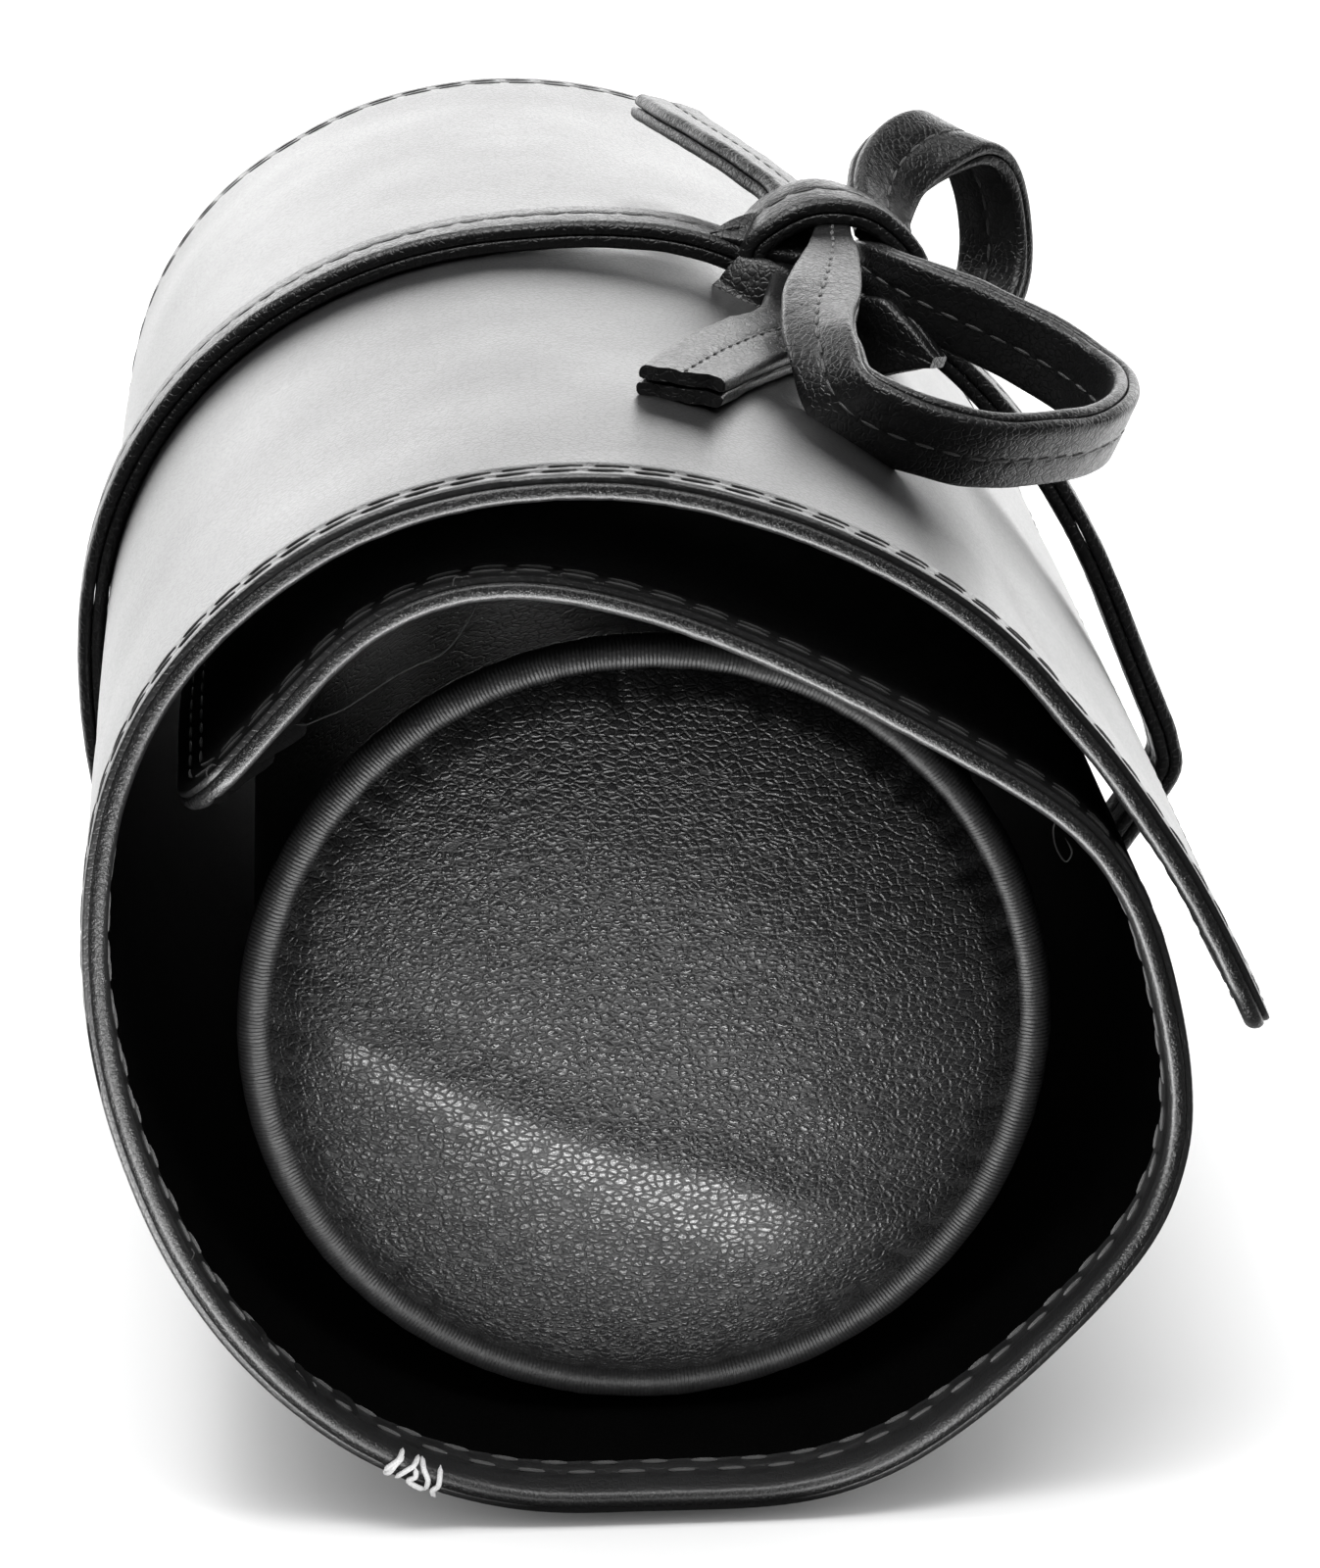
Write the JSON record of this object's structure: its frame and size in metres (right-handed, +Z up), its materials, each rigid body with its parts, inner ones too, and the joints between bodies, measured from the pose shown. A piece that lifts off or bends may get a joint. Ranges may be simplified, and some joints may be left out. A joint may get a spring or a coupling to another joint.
{
  "type": "jewelry roll",
  "caption": "Soft black leather jewelry roll: a suede-lined sheet coiled round a piped bolster and tied with a stitched leather strap in a bow.",
  "frame": {"origin": "middle of the flat patch under the tie, which is what the roll rests on", "axes": "+Y along the roll, away from its front mouth; +Z up, through the tie's flat patch and out beside the bow; +X to the right, towards the loose edge of the sheet"},
  "size_m": [0.0969, 0.148, 0.0921],
  "materials": {
    "black_leather": "semi-gloss fine grain",
    "cover_leather": "semi-gloss pebbled grain",
    "strap_leather": "semi-gloss, stitched",
    "black_suede": "napped suede",
    "foam": "soft foam, hidden",
    "cotton_cord": "twisted cord, hidden"
  },
  "bodies": {
    "roll": {"outer_leather": "black_leather", "suede_lining": "black_suede"},
    "bolster": {"bolster_core": "foam", "bolster_sleeve": "cover_leather", "front_cap": "cover_leather", "rear_cap": "cover_leather", "front_cap_padding": "foam", "rear_cap_padding": "foam", "front_piping": "cover_leather", "rear_piping": "cover_leather", "front_piping_cord": "cotton_cord", "rear_piping_cord": "cotton_cord"},
    "tie": {"strap_outer_ply": "strap_leather", "strap_inner_ply": "strap_leather", "bow_knot": "strap_leather", "bow_loop_front": "strap_leather", "bow_loop_rear": "strap_leather", "tie_end_short": "strap_leather", "tie_end_long": "strap_leather"}
  },
  "joints": [
    {"name": "bolster_slide", "type": "slide", "parent": "roll", "child": "bolster", "axis": [0, -1, 0], "range_m": [0, 0.15]},
    {"name": "tie_slide", "type": "slide", "parent": "roll", "child": "tie", "axis": [0, 1, 0], "range_m": [-0.06, 0.06]}
  ]
}
